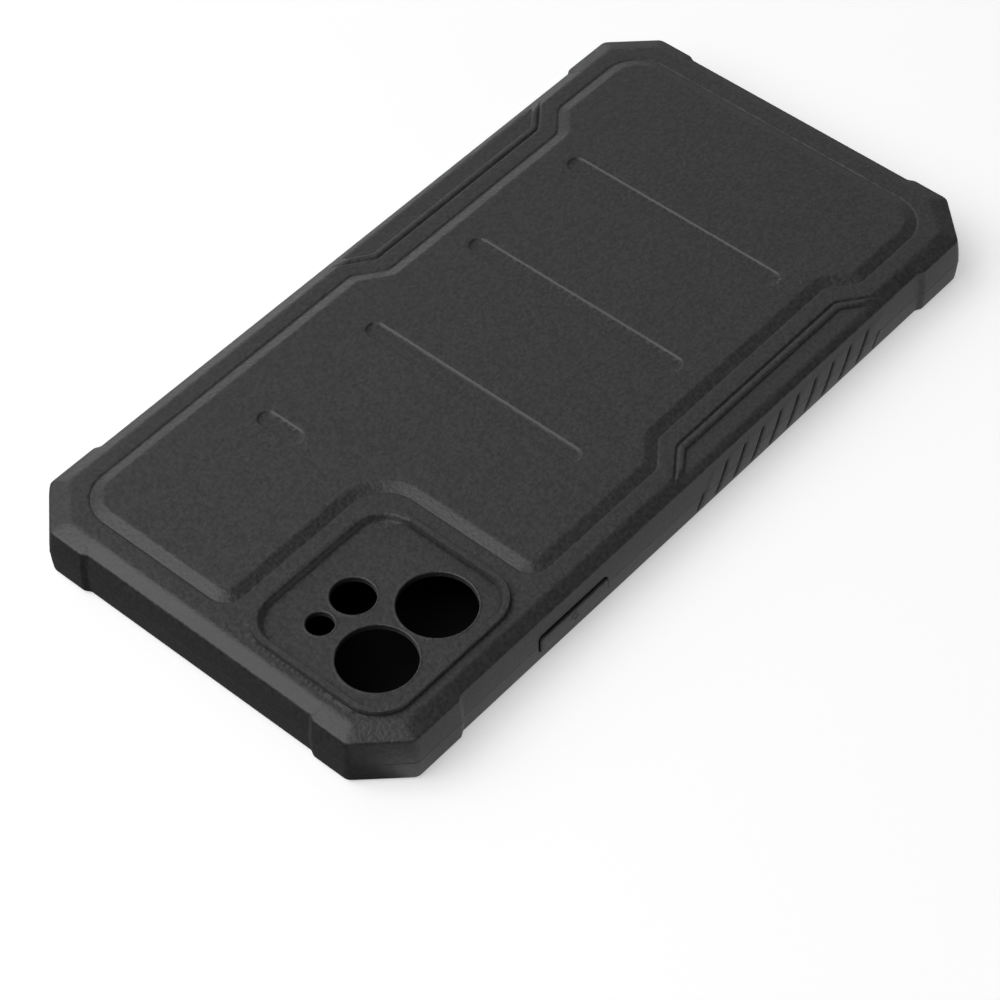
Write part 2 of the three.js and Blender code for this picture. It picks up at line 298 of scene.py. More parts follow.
class Skin:
    """Triangles and quads gathered in millimetres, welded into one closed mesh at the end."""

    def __init__(self):
        self.points = []
        self.faces = []

    def add(self, points, faces):
        offset = len(self.points)
        self.points += [tuple(p) for p in points]
        self.faces += [tuple(offset + i for i in face) for face in faces]

    def tube(self, first, second, steps):
        """Quads between two matching closed loops of points in space."""
        self.add(*lofted([first + (second - first) * k / steps for k in range(steps + 1)]))

    def object(self, name):
        mesh = bpy.data.meshes.new(name)
        mesh.from_pydata([tuple(c * MM for c in p) for p in self.points], [], self.faces)
        form = bmesh.new()
        form.from_mesh(mesh)
        bmesh.ops.remove_doubles(form, verts=form.verts, dist=WELD)
        bmesh.ops.dissolve_degenerate(form, edges=form.edges, dist=WELD / 4)
        bmesh.ops.recalc_face_normals(form, faces=form.faces)
        form.to_mesh(mesh)
        form.free()
        thing = bpy.data.objects.new(name, mesh)
        bpy.context.scene.collection.objects.link(thing)
        return thing


class Sheet:
    """A flat domain with an edge, holes and crease lines, triangulated and then lifted into space."""

    def __init__(self, edge, edge_in_space=None):
        self.loops = [(np.asarray(edge, float), edge_in_space)]
        self.creases = []
        self.dots = []

    def hole(self, loop, in_space=None):
        self.loops.append((np.asarray(loop, float), in_space))

    def crease(self, line, closed=True):
        if len(line) > 1:
            self.creases.append((np.asarray(line, float), closed))

    def scatter(self, step, low=None, high=None):
        """Adds an even field of points, over the whole domain or over a box of it."""
        edge = self.loops[0][0]
        low = edge.min(0) if low is None else low
        high = edge.max(0) if high is None else high
        rows = np.arange(low[1], high[1], step * ROW_SPACING)
        columns = np.arange(low[0], high[0], step)
        field = [(x + (k % 2) * step / 2, y) for k, y in enumerate(rows) for x in columns]
        self.dots.append((np.array(field).reshape(-1, 2), step * DOT_ROOM))

    def spare_dots(self, taken):
        """The scattered points that keep clear of the lines, of each other and of the edges."""
        tree = kdtree.KDTree(len(taken))
        for i, (x, y) in enumerate(taken):
            tree.insert((x, y, 0), i)
        tree.balance()
        kept = []
        for field, room in self.dots:
            inside = signed_distance(field, self.loops[0][0]) > room
            for loop, _ in self.loops[1:]:
                near = ((field > loop.min(0) - room) & (field < loop.max(0) + room)).all(1) & inside
                inside[near] &= signed_distance(field[near], loop) < -room
            kept += [(x, y) for x, y in field[inside] if tree.find((x, y, 0))[2] > room]
        return kept

    def build(self, skin, lift):
        """Triangulates the domain, lifts it with lift(points) and adds it to the skin."""
        flat, fixed, edges = [], {}, []
        for loop, in_space in self.loops:
            start = len(flat)
            flat += [tuple(p) for p in loop]
            edges += [(start + i, start + (i + 1) % len(loop)) for i in range(len(loop))]
            if in_space is not None:
                fixed.update({start + i: in_space[i] for i in range(len(loop))})
        for line, closed in self.creases:
            start = len(flat)
            flat += [tuple(p) for p in line]
            last = len(line) if closed else len(line) - 1
            edges += [(start + i, start + (i + 1) % len(line)) for i in range(last)]
        flat += self.spare_dots(flat)
        places, _, faces, sources, _, _ = geometry.delaunay_2d_cdt(
            [Vector(p) for p in flat], edges, [], 0, SAME_POINT)
        plan = np.array(places)
        faces = np.array(faces)
        middles = plan[faces].mean(1)
        keep = signed_distance(middles, self.loops[0][0]) > SLIVER
        for loop, _ in self.loops[1:]:
            near = ((middles > loop.min(0)) & (middles < loop.max(0))).all(1) & keep
            keep[near] &= signed_distance(middles[near], loop) < 0
        space = lift(plan)
        for i, origin in enumerate(sources):
            known = [k for k in origin if k in fixed]
            if known:
                space[i] = fixed[known[0]]
        skin.add(space, faces[keep])


def lofted(rows, skip=None):
    """Faces between closed rows of equally many points; skip(row, place) leaves a face out."""
    count = len(rows[0])
    faces = []
    for k in range(len(rows) - 1):
        for i in range(count):
            if skip is None or not skip(k, i):
                j = (i + 1) % count
                faces.append((k * count + i, k * count + j, (k + 1) * count + j, (k + 1) * count + i))
    return np.concatenate(rows), faces


# --- the outer wall ---

# The wall sheets reach this far to both sides of the middle of a long side and of the charging end.
WALL_LIMIT = 58
END_LIMIT = 23
# The heights of the sweeps' rows: closest together at the parting line's bead.
WALL_ROWS = [8.6, 8.1, 7.6, 7.0, 6.4, 5.8, 5.2, 4.6, 4.35, 4.3, 4.25, 4.2, 4.15, 3.9, 3.3, 2.7, 2.1, 1.5, 0.9]
INNER_ROWS = [1.5, 2.6, 3.7, 4.8, 5.9, 7.0, 7.9]
RAMP_STEPS = 8
BUMPER_STEPS = 8
CUT_STEPS = 12
VERTEX_STEPS = 6


def wall_inset(z):
    back = SHOULDER_INSET * (np.clip(z - PARTING_Z, 0, None) / (SHOULDER_Z - PARTING_Z)) ** WALL_BULGE
    front = FRONT_EDGE_INSET * (np.clip(PARTING_Z - z, 0, None) / (PARTING_Z - FRONT_EDGE_Z)) ** WALL_BULGE
    return back + front


def parting_bead(z):
    return BEAD_PROUD * np.clip(1 - np.abs(z - PARTING_Z) / BEAD_HALF, 0, 1)


def between(a, b, steps):
    """Points from a to b without a itself."""
    return [a + (b - a) * k / steps for k in range(1, steps + 1)]


def corner_arc(before, corner, after):
    """The soft turn at a corner of the octagon."""
    start = corner + (before - corner) / np.linalg.norm(before - corner) * VERTEX_EASE
    end = corner + (after - corner) / np.linalg.norm(after - corner) * VERTEX_EASE
    turns = [k / VERTEX_STEPS for k in range(VERTEX_STEPS + 1)]
    return [(1 - t) ** 2 * start + 2 * t * (1 - t) * corner + t * t * end for t in turns]


def wall_outline(inset, proud):
    """The wall's plan at one height: always the same number of points, in step from row to row."""
    side_x, end_y = HALF_X - inset, HALF_Y - inset
    shrink = (2 - math.sqrt(2)) * inset
    bumper_x, bumper_y = side_x + proud, end_y + proud
    side_vertex = np.array([bumper_x, bumper_y - CUT_Y + shrink])
    end_vertex = np.array([bumper_x - CUT_X + shrink, bumper_y])
    side_start = np.array([bumper_x, BUMPER_FROM_Y + BUMPER_RAMP / 2])
    end_start = np.array([BUMPER_FROM_X + BUMPER_RAMP / 2, bumper_y])
    ramp = [k / RAMP_STEPS for k in range(RAMP_STEPS + 1)]
    quarter = [np.array([side_x, y]) for y in range(WALL_LIMIT + 1)]
    for t in ramp:
        quarter.append(np.array([side_x + proud * smooth_step(t), BUMPER_FROM_Y + BUMPER_RAMP * (t - 0.5)]))
    first = corner_arc(side_start, side_vertex, end_vertex)
    second = corner_arc(side_vertex, end_vertex, end_start)
    quarter += between(side_start, first[0], BUMPER_STEPS) + first[1:]
    quarter += between(first[-1], second[0], CUT_STEPS) + second[1:]
    quarter += between(second[-1], end_start, BUMPER_STEPS)
    for t in ramp[1:]:
        x = BUMPER_FROM_X + BUMPER_RAMP * (0.5 - t)
        quarter.append(np.array([x, end_y + proud * (1 - smooth_step(t))]))
    quarter += [np.array([x, end_y]) for x in range(END_LIMIT, -1, -1)]
    return all_round(np.array(quarter))


def all_round(quarter):
    """The closed outline made of a quarter, from the +X axis to the +Y axis, and its mirror images."""
    return np.concatenate([
        quarter,
        (quarter * (-1, 1))[-2::-1],
        (quarter * (-1, -1))[1:],
        (quarter * (1, -1))[-2:0:-1],
    ])


def at_height(plan, z):
    return np.column_stack([plan, np.full(len(plan), z)])


def wall_rows():
    """The sweep's rows, from just above the shoulder over the wall and round to the front land."""
    high, low = WALL_ROWS[0], WALL_ROWS[-1]
    top = eased([
        (EDGE_INSET, SHOULDER_Z + (EDGE_INSET - SHOULDER_INSET) * FACET_SLOPE),
        (SHOULDER_INSET, SHOULDER_Z, 0.25),
        (wall_inset(high), high),
    ])
    middle = [(wall_inset(z) - parting_bead(z), z) for z in WALL_ROWS[1:-1]]
    bottom = eased([
        (wall_inset(low), low),
        (FRONT_EDGE_INSET, FRONT_EDGE_Z, 0.2),
        (LAND_INSET, 0, 0.25),
        (LAND_INSET + 0.4, 0),
    ])
    rows = []
    for inset, z in [*top, *middle, *bottom]:
        fade = (BORDER_INSET - inset) / (BORDER_INSET - SHOULDER_INSET) if z > PARTING_Z else 1
        proud = BUMPER_PROUD * min(fade, 1)
        rows.append(at_height(wall_outline(inset, proud), z))
    return rows


def sheeted(plan, rows, low, high):
    """Says which faces of a sweep are left to the wall sheets on the two sides and the charging end."""
    middle = (plan + np.roll(plan, -1, axis=0)) / 2
    side = np.abs(middle[:, 1]) < WALL_LIMIT
    end = (np.abs(middle[:, 0]) < END_LIMIT) & (middle[:, 1] > 0)

    def skip(k, i):
        inside = low < (rows[k][0, 2] + rows[k + 1][0, 2]) / 2 < high
        return inside and bool(side[i] or end[i])
    return skip


# --- the back ---

def panel_corners():
    """The panel's outline: a rectangle drawn in at its waist, with a notch for the camera island."""
    right = [(x, y, WAIST_RADIUS) for x, y in zip((PANEL_X, WAIST_X, WAIST_X, PANEL_X), WAIST_Y)]
    left = [(-x, y, r) for x, y, r in right]
    return [
        (PANEL_X, PANEL_Y, PANEL_RADIUS),
        (-PANEL_X, PANEL_Y, PANEL_RADIUS),
        *left[::-1],
        (-PANEL_X, -PANEL_Y, PANEL_RADIUS),
        (NOTCH_X, -PANEL_Y, NOTCH_END_RADIUS),
        (NOTCH_X, NOTCH_Y, PANEL_RADIUS),
        (PANEL_X, NOTCH_Y, NOTCH_END_RADIUS),
        *right,
    ]


def strip_corners(side):
    """The strip's outline: it opens outwards beyond the wall."""
    out = HALF_X + STRIP_BEYOND
    low, high = STRIP_Y
    corners = [
        (STRIP_X, low, STRIP_RADIUS),
        (out, low + STRIP_SLOPE[0] * (out - STRIP_X), STRIP_END_RADIUS),
        (out, high + STRIP_SLOPE[1] * (out - STRIP_X), STRIP_END_RADIUS),
        (STRIP_X, high, STRIP_RADIUS),
    ]
    return corners if side > 0 else [(-x, y, r) for x, y, r in corners[::-1]]


def slot_corners(left, right, y):
    return rectangle((left + right) / 2, y, right - left, SLOT_WIDTH, SLOT_WIDTH / 2 - END_FLAT)


def plate_corners(share):
    """Outline on the slope inside the island's rim, from the rim (share 0) down to the plate (share 1)."""
    x, y, width, length, radius = ISLAND
    right = x + width / 2 - RIM_WIDTH - share * PLATE_RUN
    left = x - width / 2 + RIM_WIDTH + share * PLATE_LEFT_RUN
    end = length / 2 - RIM_WIDTH - share * PLATE_RUN
    inner = radius - RIM_WIDTH
    outer = inner + share * PLATE_LEFT_RUN
    return [(right, y + end, inner), (left, y + end, outer), (left, y - end, outer), (right, y - end, inner)]


# Heights over distance into each outline; each corner is (distance, height, ease).
PANEL_PROFILE = eased([(-2, 0), (-0.3, 0, 0.12), (0, -0.14, 0.09), (2.1, PANEL_RAISE, 0.3), (6, PANEL_RAISE)])
SLOT_PROFILE = eased([(-1, 0), (-0.1, 0, 0.08), (0.12, -0.3, 0.08), (0.7, -0.26, 0.2), (3, -0.26)])
ISLAND_PROFILE = eased([(-2, 0), (-0.09, 0, 0.06), (0.05, RIM_RAISE, 0.1), (4, RIM_RAISE)])
HOLE_PROFILE = eased([(-2, 0), (-0.45, 0, 0.06), (-0.28, 0.05, 0.06), (-0.12, 0.05, 0.05), (0, -0.06)])
STRIP_GROOVE = eased([(-4, 0), (-1.75, 0, 0.1), (-1.4, -0.32, 0.1), (-0.95, 0, 0.2), (4, 0)])
STRIP_STEP = eased([(-4, 0), (-0.1, 0, 0.45), (0.04, 1, 0.04), (4, 1)], 6)
GROOVE_PROFILE = eased([(-3, 0), (-0.42, 0, 0.14), (0, -1, 0.1), (0.36, 0, 0.12), (3, 0)])
UNDER_PROFILE = eased([(-2, 0), (-0.05, 0, 0.05), (0.1, 1, 0.05), (2, 1)])
MARK_PROFILE = eased([(-1, 0), (-0.05, 0, 0.04), (0.08, 1, 0.04), (1, 1)])
PAD_EDGE_PROFILE = eased([(0, 0.32), (0.02, 0.3, 0.01), (0.16, 0.06, 0.1), (0.45, 0, 0.15), (3, 0)])

# The stretch of each profile that gets crease lines.
PANEL_BENDS = (-0.6, 3)
SLOT_BENDS = (-0.3, 0.4)
ISLAND_BENDS = (-0.7, 0.7)
HOLE_BENDS = (-0.6, -0.05)
STRIP_GROOVE_BENDS = (-2.1, -0.7)
STRIP_STEP_BENDS = (-0.7, 0.3)
UNDER_BENDS = (-0.2, 0.3)

# Further crease lines. Those of a lip are shares of its width, those of the plate shares of its slope.
BORDER_LINES = (0.45, 0.2, 0, -0.2, -0.45, -0.9, -1.4)
GROOVE_HEIGHTS = np.linspace(0.95, GROOVE_TOP_Z, 20)
GROOVE_LINES = (-0.55, -0.42, -0.25, -0.1, 0, 0.1, 0.22, 0.36, 0.5)
LIP_LINES = (0.35, 0.7, 1.05)
BEAD_LINES = (-0.22, -BEAD_HALF, 0, BEAD_HALF, 0.22)
PAD_LINES = (0.08, 0.16, 0.26, 0.38, 0.55)
PLATE_LINES = (0, 0.2, 0.5, 0.8, 1)


def profile_stops(profile, low, high):
    """The distances at which a profile bends, inside the two limits."""
    stops = []
    for value in profile[:, 0]:
        if low <= value <= high and (not stops or value - stops[-1] > LEAST_STOP):
            stops.append(value)
    return stops


def profiled(distance, profile):
    return np.interp(distance, profile[:, 0], profile[:, 1])


class Back:
    """Height of the outer back over the plan."""

    def __init__(self, edge):
        self.edge = edge
        self.border = wall_outline(BORDER_INSET, 0)
        self.panel = rounded(panel_corners())
        self.strips = [rounded(strip_corners(side)) for side in (1, -1)]
        self.slots = [rounded(slot_corners(*slot)) for slot in SLOTS]
        self.island = rounded(rectangle(*ISLAND))
        self.rim, self.plate = (rounded(plate_corners(share)) for share in (0, 1))
        self.holes = [circle(x, y, r, max(24, round(r * 9))) for x, y, r in CAMERA_HOLES]

    def facet(self, p):
        """The flat border and the sloping facet outside it, with a soft line between them."""
        within = signed_distance(p, self.border)
        room = np.abs(signed_distance(p, self.edge))
        down = np.where(within > 0, -within, -within / np.maximum(-within + room, 1e-6) * FACET_RUN)
        soft = FACET_EASE
        eased_down = np.where(down > soft, down, (np.clip(down, -soft, soft) + soft) ** 2 / (4 * soft))
        return BORDER_Z - FACET_SLOPE * np.where(down < -soft, 0, eased_down)

    def __call__(self, p):
        z = self.facet(p)
        flat_z = BORDER_Z - STRIP_DROP
        for strip in self.strips:
            inside = signed_distance(p, strip)
            over = np.clip(z - flat_z, 0, None)
            z = z + profiled(inside, STRIP_GROOVE) * over / STRIP_DROP - over * profiled(inside, STRIP_STEP)
        z = z + profiled(signed_distance(p, self.panel), PANEL_PROFILE)
        for slot in self.slots:
            z = z + profiled(signed_distance(p, slot), SLOT_PROFILE)
        z = z + profiled(signed_distance(p, self.island), ISLAND_PROFILE)
        from_rim = np.clip(signed_distance(p, self.rim), 0, None)
        to_plate = np.clip(-signed_distance(p, self.plate), 0, None)
        z = z - PLATE_DROP * smooth_step(from_rim / np.maximum(from_rim + to_plate, 1e-6))
        for hole in self.holes:
            z = z + profiled(signed_distance(p, hole), HOLE_PROFILE)
        return z


def stretches(points, good):
    """The unbroken runs of good points."""
    runs, run = [], []
    for point, fits in zip(points, good):
        if fits:
            run.append(point)
        elif run:
            runs.append(np.array(run))
            run = []
    return runs + [np.array(run)] if run else runs


def runs_inside(loop, edge):
    """The stretches of a closed line that keep clear of the sheet's edge."""
    inside = signed_distance(loop, edge) > CREASE_ROOM
    if inside.all():
        return [(loop, True)]
    if not inside.any():
        return []
    start = int(np.argmin(inside))
    loop, inside = np.roll(loop, -start, axis=0), np.roll(inside, -start)
    return [(run, False) for run in stretches(loop, inside)]


def crease_offsets(sheet, corners, profile, bends, step=OUTLINE_STEP):
    """Crease lines along an outline, at every distance from it where its profile bends."""
    for stop in profile_stops(profile, *bends):
        for run, closed in runs_inside(rounded(corners, stop, step), sheet.loops[0][0]):
            sheet.crease(run, closed)


def back_sheet(skin, first_row):
    """The whole outer back inside the sweep's first row. Returns its height over the plan."""
    edge = first_row[:, :2]
    height = Back(edge)
    sheet = Sheet(edge, first_row)
    for inset in BORDER_LINES:
        proud = BUMPER_PROUD * max(-inset, 0) / (BORDER_INSET - SHOULDER_INSET)
        sheet.crease(wall_outline(BORDER_INSET + inset, proud))
    crease_offsets(sheet, panel_corners(), PANEL_PROFILE, PANEL_BENDS)
    for side in (1, -1):
        crease_offsets(sheet, strip_corners(side), STRIP_GROOVE, STRIP_GROOVE_BENDS)
        crease_offsets(sheet, strip_corners(side), STRIP_STEP, STRIP_STEP_BENDS)
    for slot in SLOTS:
        crease_offsets(sheet, slot_corners(*slot), SLOT_PROFILE, SLOT_BENDS)
    crease_offsets(sheet, rectangle(*ISLAND), ISLAND_PROFILE, ISLAND_BENDS, FINE_STEP)
    for share in PLATE_LINES:
        sheet.crease(rounded(plate_corners(share), 0, FINE_STEP))
    for (x, y, r), loop in zip(CAMERA_HOLES, height.holes):
        sheet.hole(loop)
        for stop in profile_stops(HOLE_PROFILE, *HOLE_BENDS):
            sheet.crease(circle(x, y, r - stop, len(loop)))
    sheet.scatter(BACK_DOTS)
    sheet.build(skin, lambda p: at_height(p, height(p)))
    return height


# --- walls with openings ---

def wall_frame(limit, rows):
    """The edge of a wall sheet: the same points as the sweep round it."""
    across = np.arange(-limit, limit + 1.0)
    low, high = min(rows), max(rows)
    up = sorted(rows)
    return np.array(
        [(a, low) for a in across] + [(limit, z) for z in up[1:-1]]
        + [(a, high) for a in across[::-1]] + [(-limit, z) for z in up[-2:0:-1]])


def grip_lean(z):
    """How far a groove has leaned towards the charging end at a height: more the higher it is."""
    rise = z - GRIP_MIDDLE_Z
    return GRIP_LEAN * rise + GRIP_CURL * rise ** 2


def grips(p):
    """How far the wall stands out: grooves with pads between them, each proudest beside its groove."""
    y, z = p[:, 0], p[:, 1]
    place = (y - grip_lean(z) - GRIP_FIRST_Y) / GRIP_PITCH
    nearest = np.clip(np.round(place), 0, GRIP_COUNT - 1)
    ends = (nearest == 0) | (nearest == GRIP_COUNT - 1)
    top = np.where(ends, END_GROOVE_TOP_Z, GROOVE_TOP_Z)
    depth = GROOVE_DEPTH * smooth_step((top - z) / GROOVE_FADES[0])
    depth = depth * smooth_step((z - GRIP_LOW_Z) / GROOVE_FADES[1])
    groove = profiled((place - nearest) * GRIP_PITCH, GROOVE_PROFILE) * depth
    along = place - np.floor(place)
    pad_window = smooth_step((PAD_TOP_Z - z) / PAD_FADES[0]) * smooth_step((z - GRIP_LOW_Z) / PAD_FADES[1])
    pad_window *= smooth_step(place * 2 + 0.4) * smooth_step((GRIP_COUNT - 1 - place) * 2 + 0.4)
    pad = PAD_RAISE * (1 - along) * smooth_step(along * 6) + PAD_BASE
    return groove + pad * pad_window


def grip_creases(sheet):
    for k in range(GRIP_COUNT):
        for stop in GROOVE_LINES:
            y = GRIP_FIRST_Y + k * GRIP_PITCH + grip_lean(GROOVE_HEIGHTS) + stop
            sheet.crease(np.column_stack([y, GROOVE_HEIGHTS]), closed=False)


class Opening:
    """A hole through the wall: its corners in the wall's plane and how its lip is rounded."""

    def __init__(self, corners, lip, step=FINE_STEP):
        self.corners = corners
        self.lip = lip
        self.loop = rounded(corners, 0, step)

    def sink(self, p):
        """How far the wall sinks next to the hole's rounded edge."""
        out = -signed_distance(p, self.loop)
        return self.lip / 2 * np.clip(1 - out / self.lip, 0, 1) ** 2

    def creases(self, sheet):
        for share in LIP_LINES:
            sheet.crease(rounded(self.corners, -self.lip * share, FINE_STEP))


def wall_surface(openings, extra=None):
    """Distance of the wall's surface inwards from its widest line, as a function of the sheet's points."""
    def inward(p):
        clear = np.full(len(p), np.inf)
        for opening in openings:
            clear = np.minimum(clear, -signed_distance(p, opening.loop))
        out = wall_inset(p[:, 1]) - parting_bead(p[:, 1]) * smooth_step((clear - BEAD_CLEAR) / BEAD_FADE)
        for opening in openings:
            out = out + opening.sink(p)
        return out - extra(p) if extra else out
    return inward


def bead_creases(sheet, limit, openings):
    """Lines along the parting bead, stopping short of every opening."""
    across = np.arange(-limit + 0.4, limit - 0.3, 0.8)
    for offset in BEAD_LINES:
        line = np.column_stack([across, np.full(len(across), PARTING_Z + offset)])
        clear = np.ones(len(line), bool)
        for opening in openings:
            clear &= signed_distance(line, opening.loop) < -0.35
        for run in stretches(line, clear):
            sheet.crease(run, closed=False)


def place_side(side, half):
    """Lifts (y, z) on a side wall to space, given the distance inwards from the half width."""
    return lambda p, inward: np.column_stack([np.full(len(p), side * (half - inward)), p])


def place_end(half):
    """Lifts (x, z) on the charging end's wall to space, given the distance inwards from the half length."""
    return lambda p, inward: np.column_stack([p[:, 0], np.full(len(p), half - inward), p[:, 1]])


def outer_wall(skin, place, limit, openings, with_grips=False):
    """A wall's outer sheet. Returns how far inwards its surface lies, as wall_surface does."""
    sheet = Sheet(wall_frame(limit, WALL_ROWS))
    surface = wall_surface(openings, grips if with_grips else None)
    for opening in openings:
        sheet.hole(opening.loop)
        opening.creases(sheet)
    bead_creases(sheet, limit, openings)
    if with_grips:
        grip_creases(sheet)
        sheet.scatter(GRIP_DOTS, (-3, 1.0), (52, 8.5))
    sheet.scatter(WALL_DOTS)
    sheet.build(skin, lambda p: place(p, surface(p)))
    return surface


def inner_wall(skin, place, limit, loops):
    sheet = Sheet(wall_frame(limit, INNER_ROWS))
    for loop in loops:
        sheet.hole(loop)
    sheet.scatter(INNER_DOTS)
    sheet.build(skin, lambda p: place(p, 0))


# --- buttons ---

class Button:
    """A button cover's place: its CAD node, body, side, and its pad and stem in the wall's plane."""

    def __init__(self, node, body, mark):
        low, high = map(in_mm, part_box(node))
        self.node, self.body, self.mark = node, body, mark
        self.side = 1 if low[0] > 0 else -1
        self.y = (low[1] + high[1]) / 2
        self.z = (low[2] + high[2]) / 2
        self.length = high[1] - low[1]
        self.height = high[2] - low[2]
        self.face_x = max(abs(low[0]), abs(high[0]))
        self.tip_x = min(abs(low[0]), abs(high[0]))
        self.back_x = self.face_x - PAD_DEPTH

    def pad(self, grow=0.0):
        return rectangle(self.y, self.z, self.length + 2 * grow, self.height + 2 * grow, PAD_RADIUS + grow)

    def stem(self, grow=0.0):
        length = self.length - STEM_SHORTER + 2 * grow
        return rectangle(self.y, self.z, length, STEM_HEIGHT + 2 * grow, STEM_RADIUS + grow)


BUTTONS = [
    Button("power_button_cover", "power_button", "power"),
    Button("volume_up_cover", "volume_up_button", "plus"),
    Button("volume_down_cover", "volume_down_button", "minus"),
]


def button_well(skin, button, opening, surface):
    """The recess round a button cover, down to its floor and through the stem's window to the inside."""
    place = place_side(button.side, 0)
    rim = place_side(button.side, HALF_X)(opening.loop, surface(opening.loop))
    skin.tube(rim, place(opening.loop, -WELL_FLOOR_X), 3)
    window = rounded(button.stem(BUTTON_GAP), 0, FINE_STEP)
    well_floor = Sheet(opening.loop)
    well_floor.hole(window)
    well_floor.build(skin, lambda p: place(p, -WELL_FLOOR_X))
    skin.tube(place(window, -WELL_FLOOR_X), place(window, -CAVITY_HALF_X), 2)
    return window


def side_wall(skin, side):
    """A long side, outer and inner face: its grips, its buttons' wells and, at -X, the mute window."""
    buttons = [b for b in BUTTONS if b.side == side]
    wells = [Opening(b.pad(BUTTON_GAP), WELL_LIP) for b in buttons]
    windows = [Opening(rectangle(*MUTE), MUTE_LIP)] if side < 0 else []
    place = place_side(side, HALF_X)
    surface = outer_wall(skin, place, WALL_LIMIT, wells + windows, with_grips=True)
    inner_loops = [button_well(skin, b, well, surface) for b, well in zip(buttons, wells)]
    within = place_side(side, CAVITY_HALF_X)
    for window in windows:
        skin.tube(place(window.loop, surface(window.loop)), within(window.loop, 0), 4)
        inner_loops.append(window.loop)
    inner_wall(skin, within, WALL_LIMIT, inner_loops)


def end_wall(skin):
    """The charging end: the connector's opening between two rows of sound holes."""
    openings = [Opening(rectangle(*PORT), PORT_LIP)]
    for x in SOUND_HOLES:
        corners = rectangle(x, SOUND_Z, 2 * SOUND_RADIUS, 2 * SOUND_RADIUS, SOUND_RADIUS - END_FLAT)
        openings.append(Opening(corners, SOUND_LIP, WHOLE_RUN))
    place, within = place_end(HALF_Y), place_end(CAVITY_HALF_Y)
    surface = outer_wall(skin, place, END_LIMIT, openings)
    for opening in openings:
        skin.tube(place(opening.loop, surface(opening.loop)), within(opening.loop, 0), 3)
    inner_wall(skin, within, END_LIMIT, [opening.loop for opening in openings])


# --- the inside ---

def inner_outline(out):
    """The plan of the space inside, from the lip's opening outwards: points in step from row to row."""
    half_x = CAVITY_HALF_X - LIP_OVERHANG + out
    half_y = CAVITY_HALF_Y - LIP_OVERHANG + out
    radius = CAVITY_RADIUS - LIP_OVERHANG + out
    centre = np.array([half_x - radius, half_y - radius])
    quarter = [np.array([half_x, y]) for y in range(WALL_LIMIT + 1)]
    quarter += between(quarter[-1], np.array([half_x, centre[1]]), 4)
    turns = [math.pi / 2 * k / 24 for k in range(1, 25)]
    quarter += [centre + radius * np.array([math.cos(t), math.sin(t)]) for t in turns]
    quarter += between(quarter[-1], np.array([END_LIMIT, half_y]), 2)
    quarter += [np.array([x, half_y]) for x in range(END_LIMIT - 1, -1, -1)]
    return all_round(np.array(quarter))


def inner_rows():
    """The inner sweep's rows, from the front land round the lip and up to the edge of the floor."""
    lip = eased([
        (0.3, 0),
        (0, 0, 0.18),
        (0, LIP_Z, 0.12),
        (LIP_OVERHANG, LIP_Z, 0.15),
        (LIP_OVERHANG, INNER_ROWS[0]),
    ])
    wall = [(LIP_OVERHANG, z) for z in INNER_ROWS[1:-1]]
    top = eased([
        (LIP_OVERHANG, INNER_ROWS[-1]),
        (LIP_OVERHANG, CAVITY_FLOOR_Z, 0.25),
        (LIP_OVERHANG - 0.6, CAVITY_FLOOR_Z),
    ])
    return [at_height(inner_outline(out), z) for out, z in [*lip, *wall, *top]]


def cavity_floor(skin, last_row, holes):
    """The floor the phone's back rests on, with a shallow recess under the camera plate."""
    x, y, width, length, radius = ISLAND
    margin = PLATE_UNDER_MARGIN
    corners = rectangle(x, y, width - 2 * margin, length - 2 * margin, radius - margin)
    recess = rounded(corners)
    sheet = Sheet(last_row[:, :2], last_row)
    for hole in holes:
        sheet.hole(hole)
    crease_offsets(sheet, corners, UNDER_PROFILE, UNDER_BENDS)
    sheet.scatter(FLOOR_DOTS)

    def lift(p):
        rise = profiled(signed_distance(p, recess), UNDER_PROFILE) * (PLATE_UNDER_Z - CAVITY_FLOOR_Z)
        return at_height(p, CAVITY_FLOOR_Z + rise)
    sheet.build(skin, lift)


def case_shell():
    """The whole moulding, outside and inside, as one closed mesh."""
    skin = Skin()
    rows = wall_rows()
    skin.add(*lofted(rows, sheeted(wall_outline(0, 0), rows, WALL_ROWS[-1], WALL_ROWS[0])))
    back = back_sheet(skin, rows[0])
    side_wall(skin, 1)
    side_wall(skin, -1)
    end_wall(skin)
    inside = inner_rows()
    skin.add(*lofted(inside, sheeted(inner_outline(0), inside, INNER_ROWS[0], INNER_ROWS[-1])))
    land = Sheet(rows[-1][:, :2], rows[-1])
    land.hole(inside[0][:, :2], inside[0])
    land.build(skin, lambda p: at_height(p, 0))
    cavity_floor(skin, inside[-1], back.holes)
    for hole in back.holes:
        skin.tube(at_height(hole, back(hole)), at_height(hole, PLATE_UNDER_Z), 2)
    return skin.object("shell_moulding")


# --- button covers ---

MARK_RAISE = 0.12
MARK_FIELD = 1.3
SIGN_LENGTH = 1.9
SIGN_WIDTH = 0.4
SIGN_RADIUS = 0.12
RING_DROP = 0.1
RING_OUTER = 0.85
RING_INNER = 0.55
# The power mark's bar: its middle's height, width, length and corner radius.
POWER_BAR = (0.55, 0.3, 1.0, 0.1)
# How far a pad's face falls back, like the wall beside it, at this height over or under its middle.
FACE_FALL = 0.035
FACE_FALL_AT = 2


